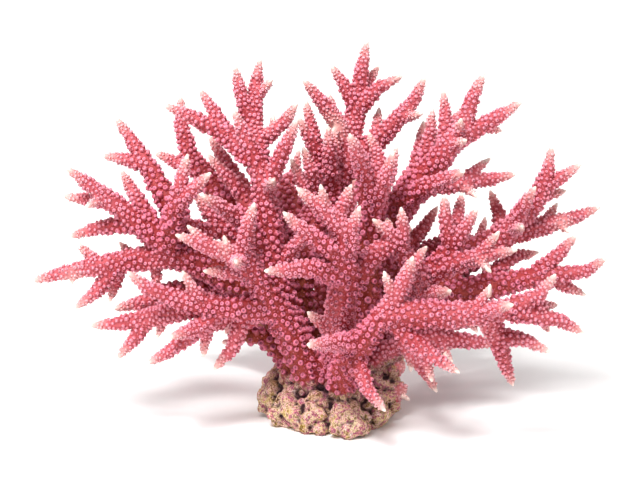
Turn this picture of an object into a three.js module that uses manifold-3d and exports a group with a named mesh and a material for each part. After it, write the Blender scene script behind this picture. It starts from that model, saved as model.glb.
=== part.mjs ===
// A branching staghorn coral colony on its encrusted holdfast, cut off flat underneath.
// Millimetres, +Z up. The origin is the centre of the flat cut that the colony rests on.
// Each bough is one solid: its main limb and its twigs, split from its neighbours at the forks.
import * as THREE from 'three';
import { mergeVertices } from 'three/addons/utils/BufferGeometryUtils.js';
import Module from 'manifold-3d';

const wasm = await Module();
wasm.setup();

// Driving dimensions.
const GAP = 0.4; // clearance left where two solids meet
const MERGE = 0.15; // corners that stray less than this from a plain facet are merged into it
const GAP_ENVELOPE = GAP / Math.cos(Math.PI / 4) + 0.02; // the same gap, on a four-sided twig's corners
const SIDES = [[3.0, 4], [6.0, 5], [Infinity, 6]]; // flats round a limb, by the radius of its root
const TIP_RADIUS = 0.3;
const TAPER_SCALE = 0.56; // radius gained per millimetre ** TAPER_POWER behind the tip
const TAPER_POWER = 0.55;
const THICKEST = 6.6; // no limb grows fatter than this radius
const NOSE = 1.6; // length of the blunt end cone
const FIRST_STEP = 9; // from the nose back to the next ring
const STEP_GROWTH = 6; // each step is this much longer than the one before it
const LONGEST_STEP = 20; // up to this
const FRAME_STEPS = 60; // how finely a limb's twist-free frames are worked out
const SMALLEST_BODY = 2; // a cut-off crumb below this volume in mm3 is dropped

// The holdfast: a low dome of crust with rounded knobs all round, cut flat at z = 0.
const DOME = { centre: [0, -2, 3], radii: [25, 22, 17] };
const KNOBS = [
  // rim, from the left round the front to the right and back again: [x, y, z, radius]
  [-21, -5, 8, 7.5], [-15, -15, 6, 8.5], [-5, -22, 6, 8.5], [7, -27, 6, 8.5], [17, -17, 6, 8.5],
  [22, -5, 7, 8], [19, 12, 6, 9.5], [5, 21, 6, 9.5], [-10, 19, 6, 9.5], [-20, 7, 7, 9],
  // crown, between the feet of the trunks
  [-20, -3, 14, 6.5], [4, -17, 12, 7.5],
];
// Two stub branches that stand on the right-hand side of the crust.
const STUBS = [
  [[19, -4, 6], [24, -4, 14], [28, -5, 22]],
  [[8, -4, 16], [22, -6, 14], [33, -8, 8]],
];

// The boughs. Each limb is a run of points from its root, inside what carries it, to its tip.
// A limb that stops in a fork instead of a tip says how far its longest branch goes on beyond it.
const forked = (beyond, points) => Object.assign(points, { beyond });

const BOUGHS = {
  // trunks on the left
  left_arch: [
    forked(10, [[-14, -9, 13], [-14, -9, 21], [-18, -10, 29], [-25, -14, 36], [-33, -22, 39]]),
  ],
  tall_left_trunk: [
    [
      [-6, -4, 14], [-11, -6, 28], [-17, -7, 44], [-24, -10, 71],
      [-24, -11, 96], [-32, -10, 115], [-37, -12, 128],
    ],
    [[-24, -13, 97], [-21, -26, 103]],
    [[-24, -11, 97], [-20, -13, 106], [-12, -17, 125]],
    [[-21, -7, 58], [-17, -12, 68], [-6, -24, 84]],
  ],
  front_left_trunk: [
    [[-6, -13, 13], [-9, -17, 27], [-21, -26, 52], [-32, -35, 72], [-32, -40, 83], [-28, -48, 99]],
    [[-34, -37, 73], [-35, -56, 78]],
    [[-32, -34, 68], [-41, -38, 69], [-48, -43, 71]],
  ],
  left_arm: [
    forked(48, [[-11, -4, 26], [-21, -3, 41], [-32, -5, 54], [-45, -8, 63], [-57, -11, 68], [-66, -13, 70]]),
  ],
  back_center_trunk: [
    forked(48, [[-4, 8, 10], [-9, 10, 24], [-13, 14, 51], [-8, 20, 71], [2, 25, 88], [10, 28, 104]]),
  ],

  // low boughs on the left
  front_left_hand: [
    [[-31, -34, 69], [-37, -39, 76], [-44, -43, 80], [-58, -50, 87]],
    [[-46, -44, 82], [-54, -43, 89]],
    [[-38, -40, 77], [-40, -43, 85]],
  ],
  low_left_bough: [
    [[-22, -26, 51], [-31, -30, 52], [-49, -36, 56], [-65, -40, 60], [-71, -42, 65], [-77, -44, 71]],
    [[-49, -37, 57], [-53, -40, 64], [-56, -43, 71]],
    [[-32, -30, 52], [-33, -28, 43], [-37, -28, 36], [-45, -28, 27]],
    [[-36, -27, 38], [-42, -21, 36]],
    [[-33, -28, 47], [-41, -18, 39]],
  ],
  low_left_fingers: [
    [[-44, -33, 52], [-50, -37, 47], [-56, -41, 42], [-70, -47, 35]],
    [[-50, -38, 47], [-56, -46, 47], [-61, -52, 47]],
    [[-47, -34, 49], [-48, -31, 40], [-49, -30, 33]],
  ],
  low_left_back: [
    [[-53, -34, 55], [-62, -29, 51], [-71, -26, 47], [-94, -22, 43]],
    [[-71, -26, 47], [-77, -26, 38], [-83, -27, 31]],
    [[-64, -28, 50], [-66, -26, 45], [-67, -25, 39]],
  ],
  hidden_left_branch: [
    [[-22, -2, 43], [-34, 3, 50], [-55, -4, 54], [-75, -14, 50], [-85, -18, 49]],
  ],
  left_arm_low: [
    [[-62, -12, 69], [-79, -16, 68], [-101, -21, 65], [-116, -25, 62]],
    [[-90, -18, 67], [-95, -17, 71], [-99, -16, 76]],
    [[-76, -14, 68], [-80, -8, 70], [-83, -5, 73]],
    [[-99, -20, 65], [-101, -22, 60]],
    [[-68, -13, 67], [-68, -13, 59], [-68, -16, 53]],
    [[-83, -17, 67], [-87, -18, 60], [-100, -22, 50]],
    [[-82, -15, 66], [-85, -13, 56], [-87, -12, 50]],
  ],

  // high boughs on the left
  left_arm_high: [
    [[-62, -13, 72], [-69, -15, 80], [-87, -21, 95], [-101, -27, 108]],
    [[-85, -20, 93], [-94, -17, 93], [-104, -15, 94]],
    [[-88, -22, 95], [-94, -30, 93]],
    [[-74, -17, 84], [-84, -15, 83], [-102, -13, 77]],
    [[-68, -14, 80], [-74, -9, 89], [-82, -3, 102]],
  ],
  left_crest: [
    [[-64, -14, 71], [-62, -20, 83], [-59, -24, 92], [-45, -36, 108]],
    [[-59, -24, 92], [-57, -27, 102], [-54, -30, 114]],
  ],
  left_spire: [
    [[-56, -10, 68], [-60, -8, 84], [-73, -2, 106], [-84, 2, 122]],
    [[-72, -3, 104], [-80, -2, 106], [-90, 0, 107]],
  ],
  inner_left_hand: [
    [[-24, -8, 68], [-30, -15, 79], [-35, -22, 87], [-49, -34, 99]],
  ],
  inner_left_back: [
    [[-23, -6, 62], [-35, -4, 72], [-42, -6, 78], [-53, -8, 94]],
    [[-41, -6, 77], [-52, -12, 81], [-60, -17, 84]],
  ],
  left_back_spire: [
    [[-12, 14, 54], [-22, 18, 66], [-45, 22, 88], [-58, 26, 104], [-60, 32, 125]],
    [[-53, 24, 96], [-60, 26, 98], [-71, 29, 102]],
  ],
  left_back_fan: [
    [[-24, -8, 72], [-27, 3, 81], [-37, 11, 95], [-48, 19, 111]],
    [[-31, 7, 87], [-40, 6, 97], [-48, 7, 106]],
  ],
  left_top_bough: [
    [[-29, -10, 108], [-37, -2, 114], [-45, 1, 118], [-65, 3, 127]],
    [[-40, 1, 115], [-45, 3, 124], [-51, 5, 133]],
  ],
  left_top_spires: [
    [[-27, -6, 102], [-29, 5, 111], [-30, 10, 123], [-27, 13, 144]],
    [[-30, 9, 117], [-34, 8, 128], [-37, 7, 142]],
    [[-28, 11, 129], [-22, 5, 137]],
    [[-29, 5, 110], [-22, 5, 114], [-12, 2, 128]],
    [[-22, 5, 116], [-22, 9, 122]],
  ],

  // centre
  front_center_trunk: [
    [[3, -13, 13], [4, -20, 28], [4, -28, 46], [7, -39, 72], [8, -43, 82], [3, -46, 91], [-12, -53, 106]],
    [[-1, -47, 95], [-3, -52, 107]],
    [[3, -44, 90], [6, -38, 98], [9, -34, 103]],
    [[2, -27, 42], [-4, -32, 48], [-8, -37, 53]],
    [[8, -43, 80], [9, -46, 89], [12, -49, 98]],
  ],
  center_crown: [
    [[5, -2, 13], [9, -4, 30], [14, -8, 52], [17, -18, 89], [13, -30, 109], [8, -40, 124]],
    [[17, -18, 89], [23, -14, 99], [27, -6, 112]],
    [[17, -20, 91], [21, -26, 100], [25, -34, 116]],
    [[17, -17, 86], [21, -8, 95], [20, 3, 106], [16, 8, 115]],
  ],
  front_star_left: [
    [[7, -40, 72], [-1, -47, 81], [-9, -53, 89], [-17, -59, 98]],
  ],
  front_star_low: [
    [[6, -37, 67], [-2, -47, 73], [-12, -56, 75], [-24, -66, 77]],
  ],
  center_spire: [
    [[8, 27, 100], [13, 29, 112], [12, 30, 124], [16, 32, 148]],
    [[12, 29, 119], [8, 28, 128], [1, 27, 139]],
    [[12, 30, 125], [17, 36, 131], [21, 40, 136]],
    [[12, 29, 120], [17, 27, 127], [30, 23, 135]],
  ],
  center_spire_left: [
    [[9, 27, 103], [4, 24, 116], [-2, 22, 124], [-10, 20, 134]],
    [[3, 24, 117], [0, 31, 127]],
  ],
  center_spire_right: [
    [[6, 26, 94], [13, 26, 103], [27, 24, 115], [33, 22, 122], [39, 20, 135]],
    [[30, 23, 118], [38, 15, 121]],
    [[19, 25, 108], [21, 33, 120]],
  ],
  center_left_spire: [
    [[1, 24, 87], [-3, 26, 98], [-6, 29, 109], [-9, 33, 123]],
    [[-4, 26, 102], [-12, 22, 118]],
  ],
  center_left_twins: [
    [[2, 22, 88], [1, 13, 100], [0, 10, 117]],
    [[1, 15, 96], [3, 18, 104], [2, 21, 114]],
  ],
  center_left_pair: [
    [[-5, 22, 80], [-5, 13, 92], [-10, 12, 108]],
    [[-5, 16, 87], [-11, 17, 93], [-15, 18, 102]],
  ],

  // front right
  front_right_trunk: [
    [[6, -18, 14], [7, -30, 31], [18, -44, 49], [27, -49, 64], [32, -56, 80]],
    [[25, -49, 62], [21, -55, 74]],
    [[28, -48, 66], [33, -41, 74], [38, -36, 79]],
    [[11, -37, 41], [3, -49, 44], [-8, -65, 48]],
  ],
  front_right_drooper: [
    [[9, -34, 37], [10, -42, 32], [15, -48, 25], [22, -54, 18]],
  ],
  low_right_bough: [
    [[23, -46, 55], [32, -49, 53], [51, -53, 57], [69, -54, 59], [82, -54, 66], [86, -55, 73]],
    [[59, -54, 58], [64, -63, 62], [69, -70, 65]],
    [[56, -54, 58], [60, -57, 64], [61, -59, 70]],
    [[53, -52, 56], [57, -48, 48]],
    [[70, -54, 58], [83, -51, 56], [98, -49, 48]],
    [[81, -51, 55], [85, -44, 47]],
    [[79, -53, 60], [88, -45, 58]],
  ],
  low_right_drooper: [
    [[59, -53, 57], [64, -48, 48], [67, -44, 38], [72, -40, 24]],
    [[65, -47, 46], [73, -49, 46], [85, -51, 41]],
  ],
  low_right_fingers: [
    [[25, -46, 53], [31, -49, 46], [37, -53, 42], [50, -59, 35]],
    [[36, -52, 43], [38, -51, 35], [40, -51, 29]],
  ],

  // right
  right_arch: [
    [[14, 0, 9], [18, -3, 21], [23, -7, 30], [29, -10, 33], [34, -15, 30], [43, -26, 17]],
    [[33, -14, 30], [33, -15, 22]],
  ],
  low_right_back: [
    [[22, -6, 27], [31, -4, 32], [51, -4, 32], [70, -4, 30]],
    [[43, -4, 33], [46, -9, 29], [50, -12, 25]],
  ],
  right_trunk: [
    [[9, 8, 15], [16, 6, 27], [31, -5, 49], [45, -14, 68], [54, -20, 83], [58, -23, 91]],
    [[48, -17, 76], [46, -19, 85], [45, -21, 96]],
    [[48, -16, 76], [52, -8, 86], [53, -4, 93]],
    [[36, -9, 55], [44, -20, 56], [48, -28, 59]],
  ],
  right_front_fork: [
    [[38, -12, 58], [32, -22, 67], [28, -28, 77], [17, -37, 90]],
    [[28, -28, 77], [29, -31, 85], [28, -34, 94]],
    [[24, -30, 81], [23, -19, 86]],
  ],
  front_center_bough: [
    forked(20, [[7, -34, 62], [15, -33, 72], [21, -32, 78], [26, -30, 80]]),
  ],
  right_mid_bough: [
    [[41, -12, 62], [50, -20, 68], [58, -25, 72], [73, -34, 77]],
    [[58, -26, 72], [63, -29, 78], [66, -32, 84]],
    [[58, -26, 72], [63, -34, 68]],
  ],
  far_right_bough: [
    [[22, 5, 38], [37, 8, 45], [61, 5, 51], [81, 1, 56], [89, 0, 63], [99, -2, 75]],
    [[82, 1, 57], [98, -3, 58], [111, -7, 67]],
    [[87, 0, 58], [96, 1, 53], [104, 2, 49]],
    [[60, 5, 51], [67, 11, 57], [75, 14, 62], [86, 17, 63]],
  ],
  right_crest: [
    [[37, 9, 46], [52, 12, 59], [71, 9, 72], [82, 7, 84], [88, 5, 100], [89, 4, 110]],
    [[86, 6, 92], [93, 5, 97], [101, 3, 103]],
    [[86, 6, 89], [96, 12, 90]],
    [[74, 8, 75], [77, -9, 80]],
    [[72, 7, 73], [77, 0, 85], [82, -7, 96]],
  ],
  right_crest_back: [
    [[71, 11, 71], [69, 17, 80], [66, 22, 88]],
  ],
  right_crest_low: [
    [[74, 9, 73], [84, 10, 75], [94, 11, 77], [110, 13, 83]],
    [[87, 10, 76], [93, 16, 84]],
    [[93, 10, 77], [97, 6, 74]],
  ],
  right_top_trunk: [
    [
      [7, 14, 11], [11, 14, 27], [19, 12, 56], [25, 8, 78],
      [37, 3, 96], [51, -1, 113], [56, -3, 129], [61, -5, 141],
    ],
    [[47, 1, 110], [47, 8, 119], [46, 13, 131]],
    [[51, -2, 116], [52, -11, 124]],
    [[49, -1, 111], [54, -13, 116]],
    [[37, 4, 96], [40, 10, 106], [42, 16, 123]],
    [[28, 7, 82], [35, 19, 93], [39, 30, 115]],
  ],
  right_top_finger: [
    [[48, 0, 111], [58, -2, 118], [66, -4, 123], [76, -6, 130]],
    [[61, -2, 119], [69, 5, 116]],
  ],
  right_top_low: [
    [[29, 5, 86], [36, -5, 94], [44, -14, 100], [53, -24, 106]],
  ],
  right_top_side: [
    [[36, 3, 94], [51, 3, 95], [61, 4, 96], [75, 6, 98]],
    [[53, 3, 95], [59, 6, 100], [65, 9, 104]],
    [[53, 3, 95], [59, -4, 91]],
  ],
  right_back_twig: [
    [[21, 11, 57], [34, 19, 66], [40, 23, 73], [45, 27, 80]],
  ],
  right_back_branch: [
    [[19, 12, 50], [32, 18, 59], [46, 25, 64], [63, 31, 65], [65, 34, 74]],
  ],

  // back
  back_left_trunk: [
    [[-9, 14, 7], [-16, 30, 20], [-32, 52, 46], [-45, 64, 71], [-49, 67, 84]],
    [[-25, 44, 35], [-36, 55, 38], [-49, 63, 39]],
    [[-32, 52, 46], [-21, 60, 58], [-17, 66, 74]],
    [[-36, 56, 53], [-48, 62, 53], [-61, 66, 48]],
  ],
  back_center_trunk_low: [
    [[-4, 18, 7], [-5, 34, 19], [2, 55, 47], [4, 62, 60], [9, 64, 72], [12, 66, 84]],
    [[-3, 43, 29], [-11, 55, 37], [-19, 66, 46]],
    [[1, 52, 42], [10, 64, 49], [19, 72, 61]],
    [[0, 50, 38], [7, 60, 36], [17, 70, 36]],
  ],
  back_right_trunk: [
    [[7, 18, 8], [14, 33, 19], [25, 44, 29], [48, 60, 47], [62, 66, 52]],
    [[32, 50, 35], [36, 62, 47], [35, 68, 62]],
    [[44, 58, 44], [52, 66, 37], [61, 70, 30]],
    [[25, 44, 30], [21, 56, 41], [16, 60, 53]],
  ],
  back_low_left: [
    [[-13, 18, 5], [-17, 34, 20], [-42, 54, 28], [-67, 68, 27]],
    [[-39, 52, 26], [-49, 58, 20], [-56, 62, 17]],
    [[-33, 48, 25], [-42, 58, 32], [-52, 62, 35]],
  ],
  back_low_right: [
    [[12, 16, 9], [18, 34, 21], [35, 46, 24], [61, 60, 22], [73, 66, 24]],
    [[39, 49, 22], [46, 58, 12], [55, 64, 9]],
    [[46, 53, 22], [51, 62, 27], [54, 68, 33]],
  ],
  back_top_left: [
    [[-10, 20, 68], [-14, 32, 79], [-29, 50, 93], [-33, 60, 113]],
    [[-21, 40, 82], [-14, 50, 88], [-12, 55, 98]],
    [[-27, 48, 90], [-34, 54, 95], [-40, 58, 101]],
  ],
  back_top_right: [
    [[30, 6, 86], [34, 22, 90], [40, 36, 95], [58, 58, 116]],
    [[37, 30, 92], [47, 42, 89], [57, 50, 87]],
    [[42, 40, 97], [42, 50, 106], [43, 56, 113]],
  ],
};

// Finish of each solid: living tissue on the boughs, pale crust on the holdfast.
const TISSUE = { color: 0xd0566f, roughness: 0.62, metalness: 0 };
const CRUST = { color: 0xcdb39a, roughness: 0.9, metalness: 0 };

// A closed geometry with its shared corners merged, as a solid that can be joined and cut.
function toSolid(geometry) {
  geometry.deleteAttribute('normal');
  geometry.deleteAttribute('uv');
  const merged = mergeVertices(geometry, 1e-3);
  const corners = merged.index.array;
  const triVerts = [];
  for (let i = 0; i < corners.length; i += 3) {
    const [a, b, c] = corners.slice(i, i + 3);
    if (a !== b && b !== c && c !== a) triVerts.push(a, b, c);
  }
  return new wasm.Manifold(new wasm.Mesh({
    numProp: 3,
    vertProperties: merged.attributes.position.array,
    triVerts: new Uint32Array(triVerts),
  }));
}

// The solid's triangles again, as a three.js geometry with a flat normal on every face.
function toGeometry(solid) {
  const { vertProperties, triVerts } = solid.getMesh();
  const geometry = new THREE.BufferGeometry();
  geometry.setAttribute('position', new THREE.BufferAttribute(vertProperties, 3));
  geometry.setIndex(new THREE.BufferAttribute(triVerts, 1));
  geometry.computeVertexNormals();
  return geometry;
}

// The same solid with the slivers that joining and cutting leave merged into their neighbours.
const plain = (solid) => solid.asOriginal().setTolerance(MERGE);

const join = (solids) => solids.reduce((whole, solid) => whole.add(solid));

// How thick a limb is, this far behind its tip.
function limbRadius(behindTip) {
  return Math.min(TIP_RADIUS + TAPER_SCALE * behindTip ** TAPER_POWER, THICKEST);
}

// Where the rings of a limb stand, measured back from its tip: close at the nose, then spreading.
function ringDistances(length) {
  const distances = [NOSE];
  let step = FIRST_STEP;
  while (distances.at(-1) + 1.5 * step < length) {
    distances.push(distances.at(-1) + step);
    step = Math.min(step + STEP_GROWTH, LONGEST_STEP);
  }
  return distances;
}

// One limb: the taper turned on a lathe, then bent along the curve through the limb's points.
function limb(points, grow) {
  const curve = new THREE.CatmullRomCurve3(points.map((point) => new THREE.Vector3(...point)));
  const length = curve.getLength();
  const beyond = points.beyond ?? 0;
  const rootRadius = limbRadius(length + beyond);
  const [, sides] = SIDES.find(([upTo]) => rootRadius < upTo);
  const profile = [new THREE.Vector2(0, 0), new THREE.Vector2(rootRadius + grow, 0)];
  for (const behindTip of ringDistances(length).reverse()) {
    profile.push(new THREE.Vector2(limbRadius(behindTip + beyond) + grow, length - behindTip));
  }
  profile.push(new THREE.Vector2(0, length + grow));
  const geometry = new THREE.LatheGeometry(profile, sides);

  const frames = curve.computeFrenetFrames(FRAME_STEPS, false);
  const position = geometry.attributes.position;
  for (let i = 0; i < position.count; i += 1) {
    const along = position.getY(i) / length;
    const frame = Math.round(Math.min(along, 1) * FRAME_STEPS);
    const place = curve.getPointAt(Math.min(along, 1));
    place.addScaledVector(frames.tangents[frame], Math.max(along - 1, 0) * length);
    place.addScaledVector(frames.normals[frame], position.getX(i));
    place.addScaledVector(frames.binormals[frame], -position.getZ(i));
    position.setXYZ(i, place.x, place.y, place.z);
  }
  return toSolid(geometry);
}

// A bough is its limbs joined. Grown by a little, it is the room its neighbours keep clear of.
function bough(limbs, grow = 0) {
  return join(limbs.map((points) => limb(points, grow)));
}

function holdfast(grow = 0) {
  const dome = new THREE.SphereGeometry(1, 9, 5);
  dome.rotateX(Math.PI / 2);
  dome.scale(...DOME.radii.map((radius) => radius + grow));
  dome.translate(...DOME.centre);
  const knobs = KNOBS.map(([x, y, z, radius]) => {
    const knob = new THREE.IcosahedronGeometry(radius + grow);
    knob.rotateZ(x + y);
    return toSolid(knob.translate(x, y, z));
  });
  const below = new THREE.BoxGeometry(200, 200, 100).translate(0, 0, -50 - grow);
  return join([toSolid(dome), ...knobs, bough(STUBS, grow)]).subtract(toSolid(below));
}

function mesh(name, solid, finish) {
  const piece = new THREE.Mesh(toGeometry(solid), new THREE.MeshStandardMaterial(finish));
  piece.name = name;
  return piece;
}

// Each bough grows out of those before it, so it gives way to them wherever they meet.
const colony = new THREE.Group();
colony.name = 'branching_coral';
colony.add(mesh('holdfast', plain(holdfast()), CRUST));
let taken = holdfast(GAP_ENVELOPE);
for (const [name, limbs] of Object.entries(BOUGHS)) {
  const clear = plain(bough(limbs).subtract(taken));
  const bodies = clear.decompose().filter((body) => body.volume() > SMALLEST_BODY);
  bodies.sort((a, b) => b.volume() - a.volume());
  colony.add(mesh(name, bodies[0], TISSUE));
  taken = taken.add(bough(limbs, GAP_ENVELOPE));
}

export default colony;
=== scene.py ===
# %% [markdown]
# # A branching staghorn coral
# The colony stands on a crusted holdfast that is cut flat underneath. Its boughs fork again and
# again, thin towards pale tips, and are covered in small raised cups, one for each polyp that
# lived in it. This lesson grows that skin over the plain solids of the frame, which stay where
# they are and give every place and size.

import math

import bmesh
import bpy
import numpy as np
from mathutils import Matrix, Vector, kdtree, noise
from mathutils.bvhtree import BVHTree


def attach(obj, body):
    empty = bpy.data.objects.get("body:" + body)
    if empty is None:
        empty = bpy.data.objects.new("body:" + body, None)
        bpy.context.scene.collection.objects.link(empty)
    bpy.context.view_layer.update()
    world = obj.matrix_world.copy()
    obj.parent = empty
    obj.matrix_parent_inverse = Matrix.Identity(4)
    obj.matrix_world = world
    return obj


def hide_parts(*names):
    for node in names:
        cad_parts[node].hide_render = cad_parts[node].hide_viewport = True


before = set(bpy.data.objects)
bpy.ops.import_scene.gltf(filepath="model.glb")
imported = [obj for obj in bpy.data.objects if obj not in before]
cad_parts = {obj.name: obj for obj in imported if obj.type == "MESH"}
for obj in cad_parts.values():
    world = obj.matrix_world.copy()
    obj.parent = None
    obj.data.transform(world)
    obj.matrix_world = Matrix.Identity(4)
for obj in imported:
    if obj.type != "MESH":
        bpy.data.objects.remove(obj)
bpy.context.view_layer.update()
MM = 0.001
print("solids in the frame:", len(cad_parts))

# %% [markdown]
# ## One skin over many solids
# The real colony is one grown piece, but the frame splits it at the forks and leaves a hair's
# breadth between the solids. Each solid could be rounded by itself, which would leave a crease at
# every fork. Instead, all of them are swollen a little so that they overlap, and one voxel remesh
# wraps them in a single skin. The split comes back at the end, along the same forks.

# %% Copy the solids, merged and a little swollen
SWELL = 0.28 * MM
SAME_CORNER = 0.002 * MM
SPIKE_ANGLE = math.radians(205)
NOSE_EDGE = (1.5 * MM, 2.4 * MM)


def merged(node):
    """A solid's mesh with the shared corners of its loose triangles merged."""
    solid = bmesh.new()
    solid.from_mesh(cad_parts[node].data)
    bmesh.ops.remove_doubles(solid, verts=solid.verts, dist=SAME_CORNER)
    return solid


names = sorted(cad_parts)
corners, triangles, owners, tips = [], [], [], []
for number, name in enumerate(names):
    solid = merged(name)
    start = sum(len(block) for block in corners)
    for corner in solid.verts:
        around = sum(loop.calc_angle() for loop in corner.link_loops)
        lengths = [edge.calc_length() for edge in corner.link_edges]
        if around < SPIKE_ANGLE and NOSE_EDGE[0] < min(lengths) and max(lengths) < NOSE_EDGE[1]:
            ring = sum((edge.other_vert(corner).co for edge in corner.link_edges), Vector())
            ring /= len(corner.link_edges)
            tips.append((corner.co.copy(), (corner.co - ring).normalized(), number))
    corners.append(np.array([corner.co + corner.normal * SWELL for corner in solid.verts]))
    for face in solid.faces:
        triangles.append([start + corner.index for corner in face.verts])
        owners.append(number)
    solid.free()
corners = np.concatenate(corners)
print("triangles:", len(triangles), "branch tips:", len(tips))

# %% [markdown]
# The holdfast is a crust of algae, worm tubes and old coral that has grown over itself, so it is
# lumps on lumps. Small round lumps are scattered over its solid before the remesh, so that the
# skin runs over all of them without a seam.

# %% Scatter lumps over the holdfast
LUMPS = 120
LUMP_RADIUS = (2.0 * MM, 4.2 * MM)
LUMP_SEED = 11
LUMP_REST = 0.9
UNDERSIDE = 0.5 * MM
chance = np.random.default_rng(LUMP_SEED)
crust = names.index("holdfast")


def ball(place, radius):
    """Corners and triangles of a small sphere."""
    shape = bmesh.new()
    bmesh.ops.create_icosphere(shape, subdivisions=2, radius=radius)
    points = np.array([corner.co for corner in shape.verts]) + place
    faces = [[corner.index for corner in face.verts] for face in shape.faces]
    shape.free()
    return points, faces


crust_faces = np.array([face for face, owner in zip(triangles, owners) if owner == crust])
a, b, c = (corners[crust_faces[:, k]] for k in range(3))
areas = np.linalg.norm(np.cross(b - a, c - a), axis=1)
areas[(a[:, 2] + b[:, 2] + c[:, 2]) / 3 < UNDERSIDE] = 0
chosen = chance.choice(len(areas), LUMPS, p=areas / areas.sum())
for face in chosen:
    u, v = sorted(chance.random(2))
    place = a[face] * u + b[face] * (v - u) + c[face] * (1 - v)
    radius = chance.uniform(*LUMP_RADIUS)
    place[2] = max(place[2], radius * LUMP_REST)
    points, faces = ball(place, radius)
    triangles += [[len(corners) + k for k in face] for face in faces]
    owners += [crust] * len(faces)
    corners = np.concatenate([corners, points])
print("lumps on the holdfast:", LUMPS)

# %% Wrap everything in one skin
VOXEL = 0.7 * MM


def new_object(name, points, faces):
    """A mesh object at the origin, linked to the scene."""
    mesh = bpy.data.meshes.new(name)
    mesh.from_pydata([tuple(point) for point in points], [], [tuple(face) for face in faces])
    thing = bpy.data.objects.new(name, mesh)
    bpy.context.scene.collection.objects.link(thing)
    return thing


def plain_mesh(thing):
    """The object's mesh with its modifiers worked out."""
    graph = bpy.context.evaluated_depsgraph_get()
    return bpy.data.meshes.new_from_object(thing.evaluated_get(graph))


whole = new_object("whole", corners, triangles)
wrap = whole.modifiers.new("wrap", "REMESH")
wrap.mode = "VOXEL"
wrap.voxel_size = VOXEL
skin = plain_mesh(whole)
bpy.data.objects.remove(whole)
place = np.zeros(len(skin.vertices) * 3)
skin.vertices.foreach_get("co", place)
place = place.reshape(-1, 3)
quads = np.zeros(len(skin.loops), int)
skin.loops.foreach_get("vertex_index", quads)
quads = quads.reshape(-1, 4)
print("skin corners:", len(place), "quads:", len(quads))

# %% [markdown]
# ## Neighbours, smoothing and distances
# Everything that follows asks the skin about its own shape: smoothing averages each corner with
# its neighbours, and distances along the skin say how far a spot is from a tip or from the
# holdfast. One table of neighbours, sorted by corner, answers both.

# %% A table of neighbours
links = np.concatenate([quads[:, [i, j]] for i, j in ((0, 1), (1, 2), (2, 3), (3, 0))])
cross = np.concatenate([quads[:, [0, 2]], quads[:, [1, 3]]])


def neighbour_table(pairs):
    """Neighbours sorted by corner, and where each corner's run of them starts."""
    both = np.concatenate([pairs, pairs[:, ::-1]])
    first, second = np.divmod(np.unique(both[:, 0] * len(place) + both[:, 1]), len(place))
    return first, second, np.searchsorted(first, np.arange(len(place)))


near_from, near_to, near_start = neighbour_table(links)
far_from, far_to, far_start = neighbour_table(np.concatenate([links, cross]))
near_count = np.bincount(near_from, minlength=len(place))
far_count = np.bincount(far_from, minlength=len(place))


def averaged(values):
    """Each corner's mean over its neighbours."""
    return (np.add.reduceat(values[near_to], near_start).T / near_count).T


def far_links(front):
    """The rows of the wider table that start at the given corners."""
    count = far_count[front]
    first = np.repeat(far_start[front] - np.cumsum(count) + count, count)
    return first + np.arange(count.sum())


print("neighbours:", len(near_from), "along the edges,", len(far_from), "with the diagonals")

# %% Smooth without shrinking
ROUNDS = 22
SHRINK, GROW_BACK = 0.5, -0.52
FLAT_BELOW = 0.35 * MM
for _ in range(ROUNDS):
    for share in (SHRINK, GROW_BACK):
        place += share * (averaged(place) - place)
place[place[:, 2] < FLAT_BELOW, 2] = 0


def unit(rows):
    """Rows scaled to length one."""
    return rows / np.maximum(np.linalg.norm(rows, axis=1, keepdims=True), 1e-12)


def corner_normals(points):
    """Unit normals at the corners, summed from the quads around each."""
    d1 = points[quads[:, 2]] - points[quads[:, 0]]
    d2 = points[quads[:, 3]] - points[quads[:, 1]]
    face = np.cross(d1, d2)
    total = np.zeros_like(points)
    for k in range(4):
        np.add.at(total, quads[:, k], face)
    return unit(total)


normal = corner_normals(place)
print("smoothed", ROUNDS, "rounds")

# %% Which solid each corner belongs to
solids = BVHTree.FromPolygons([tuple(point) for point in corners], [tuple(t) for t in triangles])
owner = np.array([owners[solids.find_nearest(Vector(point))[2]] for point in place])
print("corners on the holdfast:", int((owner == crust).sum()))

# %% Distances along the skin
step = np.linalg.norm(place[far_from] - place[far_to], axis=1) / MM


def spread(seeds):
    """Distance along the skin from the nearest seed corner, in millimetres."""
    distance = np.full(len(place), np.inf)
    distance[seeds] = 0
    front = np.array(seeds)
    while len(front):
        rows = far_links(front)
        reach = distance[far_from[rows]] + step[rows]
        shorter = reach < distance[far_to[rows]]
        np.minimum.at(distance, far_to[rows[shorter]], reach[shorter])
        front = np.unique(far_to[rows[shorter]])
    return distance


lookup = kdtree.KDTree(len(place))
for index, point in enumerate(place):
    lookup.insert(point, index)
lookup.balance()
tip_corners = [lookup.find(spot)[1] for spot, _, _ in tips]
from_tip = spread(tip_corners)
from_foot = spread(np.flatnonzero(owner == crust))
print("corners that hang on nothing:", int(np.isinf(from_foot).sum()))

# %% [markdown]
# ## Rough crust, uneven wood
# Crust grows in little nodules on top of the lumps, and no bough is perfectly round. Both are
# real relief here, because they show in the outline. Cell noise gives the nodules their round
# tops and sharp furrows. Plain noise makes the boughs a little uneven.

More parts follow.
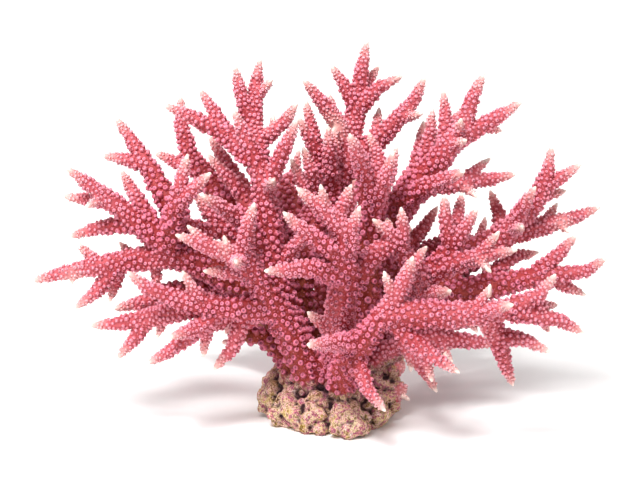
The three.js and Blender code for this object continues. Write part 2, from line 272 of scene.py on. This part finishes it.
# %% Push the skin in and out along its normals
NODULE_SIZES = ((3.4 * MM, 0.8 * MM), (1.5 * MM, 0.5 * MM))
UNEVEN_SIZE, UNEVEN_DEPTH = 3.5 * MM, 0.22 * MM
NODULE_TOP = 0.45
CRUST_FADE = 3.0
STEM_SHARE = 0.6
KEPT_FLAT = 0.2 * MM
on_crust = owner == crust
rough = np.where(on_crust, 1.0, np.clip(1 - from_foot / CRUST_FADE, 0, 1) * STEM_SHARE)
push = np.zeros(len(place))
for index in np.flatnonzero(rough > 0):
    for width, depth in NODULE_SIZES:
        nearest = noise.voronoi(Vector(place[index] / width))[0][0]
        push[index] += rough[index] * depth * (NODULE_TOP - nearest)
for index in np.flatnonzero(rough < 1):
    swell = noise.noise(Vector(place[index] / UNEVEN_SIZE))
    push[index] += (1 - rough[index]) * UNEVEN_DEPTH * swell
push[place[:, 2] < KEPT_FLAT] = 0
place += push[:, None] * normal
place[:, 2] = np.maximum(place[:, 2], 0)
normal = corner_normals(place)
print("pushed by", round(push.min() / MM, 2), "to", round(push.max() / MM, 2), "mm")

# %% [markdown]
# ## Which way each bough grows
# The cups lean towards the tip of their bough, so each spot of skin needs the way of growth. It
# is the way in which the distance from the holdfast rises fastest along the skin. Near a tip the
# distance back to the tip says it better. Both are slopes of a distance, worked out from the
# neighbours and smoothed a little.

# %% The way of growth
GROWTH_SMOOTHING = 6
STEEPEST = 2
FOOT_SAYS, TIP_SAYS = 14, 6


def ramp(value, start, end):
    """Rises from 0 at the start to 1 at the end, which may be the smaller of the two."""
    return np.clip((value - start) / (end - start), 0, 1)


def slope(distance):
    """The direction along the skin in which a distance grows, at each corner."""
    safe = np.where(np.isinf(distance), 0, distance)
    rise = (safe[near_to] - safe[near_from])[:, None]
    rise = np.clip(rise, -STEEPEST, STEEPEST) * (place[near_to] - place[near_from])
    uphill = np.add.reduceat(rise, near_start)
    uphill -= normal * (uphill * normal).sum(1, keepdims=True)
    return unit(uphill)


near_tip = ramp(from_tip, FOOT_SAYS, TIP_SAYS)[:, None]
growth = (1 - near_tip) * slope(from_foot) - near_tip * slope(from_tip)
for _ in range(GROWTH_SMOOTHING):
    growth = averaged(growth)
    growth -= normal * (growth * normal).sum(1, keepdims=True)
growth = unit(growth)
print("corners where growth points up:", int((growth[:, 2] > 0).sum()), "of", len(growth))

# %% [markdown]
# ## A seat for every cup
# Real cups keep a distance from each other, which is short near a tip, where they are young and
# small, and long on the old thick boughs. The seats are picked from the skin's corners in a
# random order with a fixed seed. Each seat that is kept strikes out the corners around it.

# %% Pick the seats
SEAT_SEED = 5
CLOSEST, CLOSE, WIDE = 0.95, 1.4, 3.3
YOUNG_SPAN, OLD_SPAN = (2, 8), (8, 58)
BARE_TIP = 3.0
BARE_CRUST = 1.5
STUB = 9.0
BUD_SPACING = 1.15
BUD_MARGIN = 0.5
BUD_SHARE = 0.75
BUD_RADIUS = 0.42
CUP_SHARE = 0.43
WIDEST_CUP = 1.15


def seat_spacing(distance):
    """Millimetres between cups, by the distance from the tip."""
    young = CLOSEST + (CLOSE - CLOSEST) * ramp(distance, *YOUNG_SPAN)
    return young + (WIDE - CLOSE) * ramp(distance, *OLD_SPAN)


def scattered(free, apart):
    """Corners picked in a fixed random order, each this many metres from the next."""
    picked = []
    for index in np.random.default_rng(SEAT_SEED).permutation(len(place)):
        if free[index]:
            picked.append(index)
            for _, other, _ in lookup.find_range(place[index], apart[index]):
                free[other] = False
    return np.array(picked)


spacing = seat_spacing(from_tip)
living = (from_tip > BARE_TIP) & ~np.isinf(from_foot)
living &= np.where(on_crust, from_tip < STUB, from_foot > BARE_CRUST)
cup_seats = scattered(living.copy(), spacing * MM)
bare_ground = living.copy()
for index in cup_seats:
    near = CUP_SHARE * spacing[index] + BUD_MARGIN
    for _, other, _ in lookup.find_range(place[index], near * MM):
        bare_ground[other] = False
buds = scattered(bare_ground, np.full(len(place), BUD_SPACING * MM))
buds = buds[np.random.default_rng(SEAT_SEED).random(len(buds)) < BUD_SHARE]
seats = np.concatenate([cup_seats, buds])
print("cups:", len(cup_seats), "small buds between them:", len(buds))

# %% Aim and size of each cup
LEAN = math.radians(38)
LEAN_AT_TIP = math.radians(52)
LEAN_SPAN = (22, 6)
LEAN_VARIES = 0.12
SIZE_VARIES, SMALLEST, LARGEST = 0.15, 0.6, 1.4
chance = np.random.default_rng(SEAT_SEED + 1)
lean = LEAN + (LEAN_AT_TIP - LEAN) * ramp(from_tip[seats], *LEAN_SPAN)
lean = (lean + chance.normal(0, LEAN_VARIES, len(seats)))[:, None]
aim = unit(np.cos(lean) * normal[seats] + np.sin(lean) * growth[seats])
yaw = np.arctan2(aim[:, 1], aim[:, 0])
tilt = np.arccos(np.clip(aim[:, 2], -1, 1))
turn = np.zeros((len(place), 3))
turn[seats] = np.stack([np.zeros(len(seats)), tilt, yaw], axis=1)
size = np.zeros(len(place))
width = np.minimum(spacing[seats] * CUP_SHARE, WIDEST_CUP)
width[len(cup_seats):] = BUD_RADIUS
size[seats] = width * MM * chance.normal(1, SIZE_VARIES, len(seats)).clip(SMALLEST, LARGEST)
is_seat = np.zeros(len(place), bool)
is_seat[cup_seats] = True
is_bud = np.zeros(len(place), bool)
is_bud[buds] = True
print("cup radius:", round(size[seats].min() / MM, 2), "to", round(size[seats].max() / MM, 2), "mm")

# %% [markdown]
# ## Back to one piece for each bough
# The skin is cut again along the forks, so that each bough keeps its own piece. A corner belongs
# to the solid that lies nearest. Where a stray patch ends up inside a neighbour, it is handed
# over to that neighbour, so that every piece stays in one part.

# %% Hand stray patches to their neighbours
def claim(taken, allowed):
    """Lets the taken corners pass their owner on over the allowed links, in waves."""
    front = np.flatnonzero(taken)
    while len(front):
        rows = far_links(front)
        rows = rows[allowed(rows) & ~taken[far_to[rows]]]
        owner[far_to[rows]] = owner[far_from[rows]]
        front = np.unique(far_to[rows])
        taken[front] = True


taken = np.zeros(len(place), bool)
for number in range(len(names)):
    own = np.flatnonzero(owner == number)
    middle = np.median(place[own], axis=0)
    taken[own[np.argmin(np.linalg.norm(place[own] - middle, axis=1))]] = True
claim(taken, lambda rows: owner[far_from[rows]] == owner[far_to[rows]])
print("corners handed over:", int((~taken).sum()))
claim(taken, lambda rows: np.ones(len(rows), bool))
hanging = ~taken | np.isinf(from_foot)

# %% Fields that the finishes read
CAVITY_ROUNDS = 9
FARTHEST = 200
CRUST_CREEP, CREEP_POWER = 10.0, 1.7
STUB_SPAN = (5, 10)
# cavity: how far a spot lies below its smoothed neighbours; the crust finish uses it to paint shade
# into crevices.
cavity = place.copy()
for _ in range(CAVITY_ROUNDS):
    cavity = averaged(cavity)
cavity = ((cavity - place) * normal).sum(1) / MM
from_tip = np.minimum(from_tip, FARTHEST)
crusty = np.where(np.isinf(from_foot), 0, from_foot)
crusty = np.clip(1 - crusty / CRUST_CREEP, 0, 1) ** CREEP_POWER
crusty = np.where(on_crust, ramp(from_tip, *STUB_SPAN), crusty)
print("deepest crevice:", round(float(cavity.max()), 2), "mm")

# %% [markdown]
# ## The cup and the tip
# A cup is a short flared tube with a rounded lip and a hollow, turned from a profile of a few
# points, because there are thousands of them. The end of a bough is one larger cup that has grown
# out into a smooth pale cone. A number painted on both says where on the cup a spot is: 0 at the
# foot, 1 on the lip, 2 at the bottom of the hollow.

# %% Turn the cup and the tip
CUP_SIDES = 7
CUP_PROFILE = [(1.15, -0.5, 0.0), (1.0, 0.62, 0.65), (0.72, 1.0, 1.0)]
CUP_FLOOR = (0.15, 2.0)
BUD_SIDES = 6
BUD_PROFILE = [(1.1, -0.5, 0.0), (0.85, 0.5, 0.25)]
BUD_TOP = (0.95, 0.5)
TIP_SIDES = 9
TIP_PROFILE = [(1.3, -5.2, 0.6), (1.16, -3.4, 0.9), (0.96, -1.9, 1.0),
               (0.7, -0.8, 1.0), (0.36, -0.1, 1.0)]
TIP_END = (0.0, 1.0)


def turned(name, profile, end, sides):
    """A closed solid of revolution about Z, with the number of each ring painted on it."""
    shape = bmesh.new()
    paint = shape.verts.layers.float.new("cup")
    rings = []
    for radius, height, value in profile:
        ring = []
        for angle in (2 * math.pi * k / sides for k in range(sides)):
            spot = (radius * math.cos(angle), radius * math.sin(angle), height)
            ring.append(shape.verts.new(spot))
        for corner in ring:
            corner[paint] = value
        rings.append(ring)
    top = shape.verts.new((0, 0, end[0]))
    top[paint] = end[1]
    shape.faces.new(rings[0][::-1])
    for low, high in zip(rings, rings[1:]):
        for k in range(sides):
            shape.faces.new((low[k], low[(k + 1) % sides], high[(k + 1) % sides], high[k]))
    for k in range(sides):
        shape.faces.new((rings[-1][k], rings[-1][(k + 1) % sides], top))
    for face in shape.faces:
        face.smooth = True
    mesh = bpy.data.meshes.new(name)
    shape.to_mesh(mesh)
    shape.free()
    return bpy.data.objects.new(name, mesh)


cup = turned("cup_shape", CUP_PROFILE, CUP_FLOOR, CUP_SIDES)
bud = turned("bud_shape", BUD_PROFILE, BUD_TOP, BUD_SIDES)
tip_cone = turned("tip_shape", TIP_PROFILE, TIP_END, TIP_SIDES)
print("faces of a cup:", len(cup.data.polygons), "of a tip:", len(tip_cone.data.polygons))

# %% [markdown]
# ## Colours and nodes
# A finish here is a small graph of nodes. Its colours are written as the hex values that a paint
# chart would give and are turned to linear light by one function. One helper adds a node, sets
# it up and wires it in.

# %% Colour and node helpers
def hue(code):
    """An sRGB hex colour as linear RGBA."""
    parts = [int(code[k:k + 2], 16) / 255 for k in (0, 2, 4)]
    return [p / 12.92 if p <= 0.04045 else ((p + 0.055) / 1.055) ** 2.4 for p in parts] + [1.0]


def add(tree, kind, inputs=None, stops=None, **settings):
    """Adds a node with its settings, ramp stops, and a value, hex colour or link for each input."""
    node = tree.nodes.new(kind)
    for key, value in settings.items():
        setattr(node, key, value)
    for key, value in (inputs or {}).items():
        socket = node.inputs[key]
        if isinstance(value, bpy.types.NodeSocket):
            tree.links.new(value, socket)
        else:
            socket.default_value = hue(value) if socket.type == "RGBA" else value
    if stops:
        band = node.color_ramp.elements
        while len(band) < len(stops):
            band.new(1.0)
        for element, (position, code) in zip(band, stops):
            element.position, element.color = position, hue(code)
    return node


def finished(name):
    """A new material: its node tree, and its shader with plain sockets."""
    material = bpy.data.materials.new(name)
    material.use_nodes = True
    tree = material.node_tree
    return material, tree, tree.nodes["Principled BSDF"]


print("a coral pink in linear light:", [round(part, 3) for part in hue("E6849F")])

# %% [markdown]
# ## The crust
# The holdfast is overgrown with coralline algae and worm tubes, which set hard like thin
# limestone. The algae give it mauve and pink, bare lime gives cream, and film algae give olive
# and brown. The patches are a few millimetres across, with grain of half a millimetre on top.
# The crevices are darkened with painted shade, and the painted number "cavity" says where they
# are. Near the stems the algae are shaded and grow pinker.

# %% The crust's colour
CRUST_PATCH = 6.0
CRUST_CHOICE = 2.4
CRUST_SPOT = 1.6
CRUST_GRAIN = 0.6
ALGAE_FROM, ALGAE_FULL, ALGAE_SHARE = 7.0, 17.0, 0.42
GRAIN_SHARE = 0.65
# How strongly painted shade darkens the crevices.
CREVICE_SHADE_SHARE = 2.2


def crust_colour(tree):
    """Cream, pink, mauve and olive patches with a fine grain and painted shade in the crevices."""
    spot = add(tree, "ShaderNodeTexCoord").outputs["Object"]
    layers = ((CRUST_PATCH, 6.0, 0.72), (CRUST_SPOT, 5.0, 0.75),
              (CRUST_CHOICE, 3.0, 0.6), (CRUST_GRAIN, 2.0, 0.6))
    noises = [add(tree, "ShaderNodeTexNoise", {
        "Vector": spot, "Scale": 1 / (width * MM),
        "Detail": detail, "Roughness": rough}).outputs["Fac"] for width, detail, rough in layers]
    patches = add(tree, "ShaderNodeValToRGB", {"Fac": noises[0]}, [
        (0.34, "5A421A"), (0.41, "B08C3C"), (0.46, "EBD79C"), (0.51, "D0748C"),
        (0.56, "8E3C62"), (0.61, "F0DCAC"), (0.70, "743458")]).outputs["Color"]
    spots = add(tree, "ShaderNodeValToRGB", {"Fac": noises[1]}, [
        (0.37, "3E2014"), (0.44, "A87E38"), (0.49, "FAEAC4"), (0.56, "C65A7E"),
        (0.62, "FFF8E6")]).outputs["Color"]
    choice = add(tree, "ShaderNodeValToRGB", {"Fac": noises[2]}, [
        (0.46, "000000"), (0.54, "FFFFFF")]).outputs["Color"]
    grain = add(tree, "ShaderNodeValToRGB", {"Fac": noises[3]}, [
        (0.38, "78583C"), (0.50, "FFFFFF")]).outputs["Color"]
    height = add(tree, "ShaderNodeSeparateXYZ", {"Vector": spot}).outputs["Z"]
    shade = add(tree, "ShaderNodeMapRange", {
        "Value": height, "From Min": ALGAE_FROM * MM, "From Max": ALGAE_FULL * MM,
        "To Max": ALGAE_SHARE}).outputs["Result"]
    # Painted shade: the deeper a spot lies in a crevice, the more it is mixed towards dark 32181E.
    cavity = add(tree, "ShaderNodeAttribute", attribute_name="cavity").outputs["Fac"]
    crevice_shade = add(tree, "ShaderNodeMath", {0: cavity, 1: CREVICE_SHADE_SHARE},
               operation="MULTIPLY", use_clamp=True).outputs[0]
    colour = patches
    for factor, over, blend in ((choice, spots, "MIX"), (shade, "9A5468", "MIX"),
                                (GRAIN_SHARE, grain, "MULTIPLY"), (crevice_shade, "32181E", "MIX")):
        colour = add(tree, "ShaderNodeMix", {0: factor, 6: colour, 7: over},
                     data_type="RGBA", blend_type=blend).outputs[2]
    return colour


print("crust patches:", CRUST_PATCH, "mm, spots:", CRUST_SPOT, "mm")

# %% [markdown]
# ## The living skin
# A thin film of tissue covers the lime skeleton. Where a bough grows fast it has no colour yet,
# so the tips are nearly white. Behind them the lips of the cups are pale pink, the skin between
# the cups is raspberry, the hollows are raspberry darkened further with painted shade, and on the
# old wood the skin turns orange and brown.
# The painted numbers give the distance from the tip, the place on a cup, and how far the crust
# has crept up.

# %% The living skin's colour
TISSUE_PATCH = 9.0
TISSUE_MOTTLE = 1.1
TISSUE_GRAIN = 0.6
RAMP_LENGTH = 100.0
DRIFT = 0.3
GROWN_AT = 4.0
LIP_SHARE = 1.25
WORN_SHARE = 0.6


def skin_colour(tree):
    """Pale tips, pink lips, raspberry hollows darkened with painted shade, and orange-brown old wood.
    """
    spot = add(tree, "ShaderNodeTexCoord").outputs["Object"]
    layers = ((TISSUE_PATCH, 3.0, 0.6), (TISSUE_MOTTLE, 4.0, 0.7))
    patch, mottle = [add(tree, "ShaderNodeTexNoise", {
        "Vector": spot, "Scale": 1 / (width * MM),
        "Detail": detail, "Roughness": rough}).outputs["Fac"] for width, detail, rough in layers]
    far = add(tree, "ShaderNodeAttribute", attribute_name="from_tip").outputs["Fac"]
    age = add(tree, "ShaderNodeMath", {0: far, 1: RAMP_LENGTH}, operation="DIVIDE").outputs[0]
    grown = add(tree, "ShaderNodeMath", {0: age, 1: GROWN_AT},
                operation="MULTIPLY", use_clamp=True).outputs[0]
    drift = add(tree, "ShaderNodeMath", {0: patch, 1: DRIFT, 2: -DRIFT / 2},
                operation="MULTIPLY_ADD").outputs[0]
    age = add(tree, "ShaderNodeMath", {0: drift, 1: grown, 2: age},
              operation="MULTIPLY_ADD", use_clamp=True).outputs[0]
    ages = ([(0.00, "F2CFC4"), (0.03, "E09A98"), (0.08, "C65C66"), (0.20, "AA3A42"),
             (0.42, "98342A"), (0.66, "8A4222"), (1.00, "6A441E")],
            [(0.00, "FADFD4"), (0.04, "F5C0C4"), (0.10, "F0A0B2"), (0.28, "E6849F"),
             (0.60, "CE6E8E"), (1.00, "A66A74")],
            # The hollows: raspberry, made darker than the skin around them as painted shade.
            [(0.00, "DA9090"), (0.06, "B8466A"), (0.25, "8C2050"), (0.70, "701E3C"),
             (1.00, "56282C")])
    ground, lip, hollow = [add(tree, "ShaderNodeValToRGB", {"Fac": age}, stops).outputs["Color"]
                           for stops in ages]
    blotch = add(tree, "ShaderNodeValToRGB", {"Fac": mottle}, [
        (0.38, "D08860"), (0.54, "FFFFFF")]).outputs["Color"]
    cup_place = add(tree, "ShaderNodeAttribute", attribute_name="cup").outputs["Fac"]
    on_lip = add(tree, "ShaderNodeMath", {0: cup_place, 1: LIP_SHARE},
                 operation="MULTIPLY", use_clamp=True).outputs[0]
    # Painted shade: from the lip down into the hollow, the colour turns to the darker hollow ramp.
    inside = add(tree, "ShaderNodeMath", {0: cup_place, 1: 1.0},
                 operation="SUBTRACT", use_clamp=True).outputs[0]
    worn = add(tree, "ShaderNodeMath", {0: grown, 1: WORN_SHARE}, operation="MULTIPLY").outputs[0]
    colour = ground
    for factor, over, blend in ((on_lip, lip, "MIX"), (inside, hollow, "MIX"),
                                (worn, blotch, "MULTIPLY")):
        colour = add(tree, "ShaderNodeMix", {0: factor, 6: colour, 7: over},
                     data_type="RGBA", blend_type=blend).outputs[2]
    return colour


print("skin blotches:", TISSUE_MOTTLE, "mm, drift:", TISSUE_PATCH, "mm")

# %% The two finishes
CREEP_PATCH = 2.6
CREEP_FROM, CREEP_EDGE = 0.85, 3.2
RELIEF_STRENGTH = 0.7


def finish(name, roughness, specular, relief, relief_size, detail):
    """Skin with crust over it where it has crept, on a rough surface with fine relief."""
    material, tree, shader = finished(name)
    spot = add(tree, "ShaderNodeTexCoord").outputs["Object"]
    patch, fine = [add(tree, "ShaderNodeTexNoise", {
        "Vector": spot, "Scale": 1 / (width * MM),
        "Detail": depth, "Roughness": 0.7}).outputs["Fac"]
        for width, depth in ((CREEP_PATCH, 4.0), (relief_size, detail))]
    crusty = add(tree, "ShaderNodeAttribute", attribute_name="crusty").outputs["Fac"]
    crept = add(tree, "ShaderNodeMath", {0: crusty, 1: patch}, operation="ADD").outputs[0]
    crept = add(tree, "ShaderNodeMath", {0: crept, 1: CREEP_EDGE, 2: -CREEP_FROM * CREEP_EDGE},
                operation="MULTIPLY_ADD", use_clamp=True).outputs[0]
    colour = add(tree, "ShaderNodeMix", {0: crept, 6: skin_colour(tree), 7: crust_colour(tree)},
                 data_type="RGBA").outputs[2]
    bump = add(tree, "ShaderNodeBump", {
        "Height": fine, "Distance": relief * MM, "Strength": RELIEF_STRENGTH})
    tree.links.new(colour, shader.inputs["Base Color"])
    tree.links.new(bump.outputs["Normal"], shader.inputs["Normal"])
    shader.inputs["Roughness"].default_value = roughness
    shader.inputs["Specular IOR Level"].default_value = specular
    print(name, "has", len(tree.nodes), "nodes")
    return material, shader


# Wet tissue over lime: a soft sheen, and a little light that goes in and comes out redder.
tissue_finish, shader = finish("coral_tissue_over_lime", 0.55, 0.4, 0.35, TISSUE_GRAIN, 3.0)
shader.inputs["Subsurface Weight"].default_value = 0.1
shader.inputs["Subsurface Radius"].default_value = (1.0, 0.35, 0.3)
shader.inputs["Subsurface Scale"].default_value = 1.0 * MM
# Coralline crust: dry, chalky and pitted.
crust_finish, shader = finish("coralline_crust_on_lime", 0.85, 0.3, 1.2, CRUST_SPOT, 6.0)

# %% [markdown]
# ## Cups on every seat
# The cups repeat thousands of times, so Geometry Nodes plant them. The tree stands one cup on
# each painted seat, turned by a painted direction and spun by a fixed random number, and one
# tip on the end of each limb. It ends by making the copies real and giving them their finish.

# %% The planting tree and its inputs
planting = bpy.data.node_groups.new("plant_cups", "GeometryNodeTree")
INPUTS = {"Skin": "Geometry", "Cup": "Object", "Bud": "Object", "Tip": "Object",
          "Cup width": "Float", "Cup height": "Float", "Bud width": "Float", "Tip width": "Float",
          "Finish": "Material", "Seed": "Int"}
for label, kind in INPUTS.items():
    planting.interface.new_socket(label, in_out="INPUT", socket_type="NodeSocket" + kind)
planting.interface.new_socket("Bough", in_out="OUTPUT", socket_type="NodeSocketGeometry")
given = add(planting, "NodeGroupInput").outputs
print("inputs of the planting tree:", ", ".join(INPUTS))

# %% Copies on the painted seats
def field(name, kind):
    """A painted value, read as a field."""
    reader = add(planting, "GeometryNodeInputNamedAttribute", {"Name": name}, data_type=kind)
    return reader.outputs[0]


def planted(shape, seat, width, height):
    """Copies of a shape on the chosen corners, turned by the painted direction."""
    copy = add(planting, "GeometryNodeObjectInfo", {"Object": shape}).outputs["Geometry"]
    painted = field("turn", "FLOAT_VECTOR")
    facing = add(planting, "FunctionNodeEulerToRotation", {0: painted}).outputs[0]
    size = field("size", "FLOAT")
    across = add(planting, "ShaderNodeMath", {0: size, 1: width}, operation="MULTIPLY").outputs[0]
    along = add(planting, "ShaderNodeMath", {0: size, 1: height}, operation="MULTIPLY").outputs[0]
    scale = add(planting, "ShaderNodeCombineXYZ", {"X": across, "Y": across, "Z": along}).outputs[0]
    copies = add(planting, "GeometryNodeInstanceOnPoints", {
        "Points": given["Skin"], "Selection": seat, "Instance": copy,
        "Rotation": facing, "Scale": scale})
    spin = add(planting, "FunctionNodeRandomValue", {"Seed": given["Seed"]}, data_type="FLOAT")
    spin.inputs[3].default_value = 2 * math.pi
    about = add(planting, "ShaderNodeCombineXYZ", {"Z": spin.outputs[1]}).outputs[0]
    about = add(planting, "FunctionNodeEulerToRotation", {0: about}).outputs[0]
    return add(planting, "GeometryNodeRotateInstances", {
        "Instances": copies.outputs[0], "Rotation": about}).outputs[0]


all_cups = planted(given["Cup"], field("is_seat", "BOOLEAN"), given["Cup width"], given["Cup height"])
all_buds = planted(given["Bud"], field("is_bud", "BOOLEAN"), given["Bud width"], given["Bud width"])
all_tips = planted(given["Tip"], field("is_tip", "BOOLEAN"), given["Tip width"], 1.0)
print("nodes that plant cups, buds and tips:", len(planting.nodes))

# %% Join the copies to the skin and dress them
bare = add(planting, "GeometryNodeDeleteGeometry", {
    "Geometry": given["Skin"], "Selection": field("is_tip", "BOOLEAN")}, domain="POINT").outputs[0]
joined = add(planting, "GeometryNodeJoinGeometry")
for part in (all_tips, all_cups, all_buds, bare):
    planting.links.new(part, joined.inputs[0])
real = add(planting, "GeometryNodeRealizeInstances", {"Geometry": joined.outputs[0]}).outputs[0]
dressed = add(planting, "GeometryNodeSetMaterial", {
    "Geometry": real, "Material": given["Finish"]}).outputs[0]
add(planting, "NodeGroupOutput", {0: dressed})
print("whole planting tree:", len(planting.nodes), "nodes")

# %% Where the tips go
tip_owner = np.array([number for _, _, number in tips])
tip_place = np.array([tuple(spot) for spot, _, _ in tips])
tip_aim = np.array([tuple(direction) for _, direction, _ in tips])
tip_turn = np.stack([np.zeros(len(tips)), np.arccos(tip_aim[:, 2]),
                     np.arctan2(tip_aim[:, 1], tip_aim[:, 0])], axis=1)
print("tips that point up:", int((tip_aim[:, 2] > 0).sum()), "of", len(tips))

# %% [markdown]
# ## Closing the cuts
# Where two boughs part, the cut leaves a hole in both. A flat cap over each hole would lie in the
# same place as the cap of the other bough and would flicker with it. Each hole is closed by a fan
# of faces to one corner that lies a little way inside its own bough, so the two caps part.

# %% Rims and lids
LID_DEPTH = 2.5 * MM


def rims(shape):
    """The open edges of a mesh, as closed rings. Each ring is followed from face to face."""
    seen, rings = set(), []
    for first in [edge for edge in shape.edges if edge.is_boundary]:
        if first in seen:
            continue
        ring, side = [first], first.link_loops[0]
        while True:
            side = side.link_loop_next
            while not side.edge.is_boundary:
                side = side.link_loop_radial_next.link_loop_next
            if side.edge is first:
                break
            ring.append(side.edge)
        seen.update(ring)
        rings.append(ring)
    return rings


def lid(shape, ring):
    """Closes an open ring with a fan to one corner, which lies a little way inside."""
    ends = sorted({end for edge in ring for end in edge.verts}, key=lambda end: end.index)
    middle = sum((end.co for end in ends), Vector()) / len(ends)
    outward = sum((end.normal for end in ends), Vector()) / len(ends)
    corner = shape.verts.new(middle - outward * LID_DEPTH)
    for edge in ring:
        loop = edge.link_loops[0]
        face = shape.faces.new((loop.link_loop_next.vert, loop.vert, corner))
        face.smooth = False
        edge.smooth = False


print("a lid's middle lies", LID_DEPTH / MM, "mm inside")

# %% Cut one bough out of the skin
TIP_SCALE = 1.0 * MM
FLOATS = {"from_tip": from_tip, "crusty": crusty, "cavity": cavity, "size": size}


def cut_piece(name, number):
    """One bough's skin as a closed mesh, with its painted numbers and its tips as loose points."""
    rows = quads[(owner[quads[:, 0]] == number) & ~hanging[quads].any(axis=1)]
    used, faces = np.unique(rows, return_inverse=True)
    own_tips = np.flatnonzero(tip_owner == number)
    mesh = bpy.data.meshes.new(name)
    points = np.concatenate([place[used], tip_place[own_tips]])
    mesh.from_pydata(points.tolist(), [], faces.reshape(-1, 4).tolist())
    mesh.shade_smooth()
    extra = len(own_tips)
    for label, values in FLOATS.items():
        filler = TIP_SCALE if label == "size" else 0.0
        layer = mesh.attributes.new(label, "FLOAT", "POINT")
        layer.data.foreach_set("value", np.concatenate([values[used], np.full(extra, filler)]))
    layer = mesh.attributes.new("turn", "FLOAT_VECTOR", "POINT")
    layer.data.foreach_set("vector", np.concatenate([turn[used], tip_turn[own_tips]]).ravel())
    loose = np.arange(len(points)) >= len(used)
    none = np.zeros(extra, bool)
    flags = {"is_seat": np.append(is_seat[used], none), "is_bud": np.append(is_bud[used], none),
             "is_tip": loose}
    for label, values in flags.items():
        mesh.attributes.new(label, "BOOLEAN", "POINT").data.foreach_set("value", values)
    shape = bmesh.new()
    shape.from_mesh(mesh)
    shape.normal_update()
    for ring in rims(shape):
        lid(shape, ring)
    shape.to_mesh(mesh)
    shape.free()
    return mesh


print("painted numbers:", ", ".join(FLOATS))

# %% Plant each bough and keep it
CUP_WIDTH = 1.0
CUP_HEIGHT = 1.2
BUD_WIDTH = 1.0
TIP_WIDTH = 1.0


def bough_piece(name, number):
    """A bough with its cups, as one plain mesh object."""
    draft = bpy.data.objects.new(name + "_draft", cut_piece(name, number))
    bpy.context.scene.collection.objects.link(draft)
    modifier = draft.modifiers.new("cups", "NODES")
    modifier.node_group = planting
    material = crust_finish if name == "holdfast" else tissue_finish
    values = {"Cup": cup, "Bud": bud, "Tip": tip_cone, "Cup width": CUP_WIDTH,
              "Cup height": CUP_HEIGHT, "Bud width": BUD_WIDTH, "Tip width": TIP_WIDTH,
              "Finish": material, "Seed": number}
    for item in planting.interface.items_tree:
        if item.name in values:
            modifier[item.identifier] = values[item.name]
    draft.update_tag()
    mesh = plain_mesh(draft)
    bpy.data.objects.remove(draft)
    piece = bpy.data.objects.new(name + "_skin", mesh)
    bpy.context.scene.collection.objects.link(piece)
    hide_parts(name)
    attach(piece, "root")
    return piece


pieces = [bough_piece(name, number) for number, name in enumerate(names)]
counts = [sum(len(face.vertices) - 2 for face in piece.data.polygons) for piece in pieces]
print("pieces:", len(pieces), "triangles:", sum(counts), "largest:", max(counts))

# %% [markdown]
# ## Floor, light and camera
# The colony stands on a plain pale floor under soft studio light: a broad lamp above and in
# front, weaker fill from both sides, one more lamp that brightens the floor far behind, and a
# bright sky all round. The camera looks at it with a long lens, slightly from above.

# %% The floor
FLOOR_SIZE = 6.0
half = FLOOR_SIZE / 2
floor_corners = [(-half, -half, 0), (half, -half, 0), (half, half, 0), (-half, half, 0)]
floor = new_object("studio_floor", floor_corners, [(0, 1, 2, 3)])
# Matt painted board: it scatters all light and shows no gloss.
floor_finish, _, shader = finished("pale_studio_floor")
shader.inputs["Base Color"].default_value = hue("FAFAF9")
shader.inputs["Roughness"].default_value = 0.9
floor.data.materials.append(floor_finish)
print("floor:", FLOOR_SIZE, "m wide")

# %% Lamps and sky
AIM = Vector((-3.2, 0, 72.5)) * MM
FAR_AIM = Vector((0, 1.7, 0))
SKY_STRENGTH = 0.32


def lamp(name, spot, size_m, watts, aim=AIM):
    """A square area lamp that looks at the colony, or at another spot."""
    light = bpy.data.lights.new(name, "AREA")
    light.size = size_m
    light.energy = watts
    holder = bpy.data.objects.new(name, light)
    holder.location = spot
    holder.rotation_euler = (aim - Vector(spot)).to_track_quat("-Z", "Y").to_euler()
    bpy.context.scene.collection.objects.link(holder)


lamp("key", (-0.35, -0.75, 1.25), 0.5, 30)
lamp("fill_left", (-1.4, -0.6, 0.5), 1.0, 5)
lamp("fill_right", (1.4, -0.7, 0.6), 1.0, 5)
lamp("far_floor", (0, 1.9, 1.3), 1.6, 30, aim=FAR_AIM)
world = bpy.data.worlds.new("studio")
world.use_nodes = True
sky = world.node_tree.nodes["Background"].inputs
sky["Color"].default_value = (1, 1, 1, 1)
sky["Strength"].default_value = SKY_STRENGTH
bpy.context.scene.world = world
print("lamps:", len(bpy.data.lights))

# %% The camera
RISE = math.radians(14)
DISTANCE = 1000 * MM
VIEW_WIDTH = 256 * MM
SENSOR_WIDTH = 36
camera = bpy.data.cameras.new("camera")
camera.sensor_width = SENSOR_WIDTH
camera.lens = SENSOR_WIDTH * DISTANCE / VIEW_WIDTH
viewer = bpy.data.objects.new("camera", camera)
viewer.location = AIM + DISTANCE * Vector((0, -math.cos(RISE), math.sin(RISE)))
viewer.rotation_euler = (AIM - viewer.location).to_track_quat("-Z", "Y").to_euler()
bpy.context.scene.collection.objects.link(viewer)
bpy.context.scene.camera = viewer
bpy.context.scene.view_settings.view_transform = "Standard"
print("lens:", round(camera.lens, 1), "mm, seen width:", VIEW_WIDTH / MM, "mm")

# %% Bring the scene up to date
bpy.context.view_layer.update()
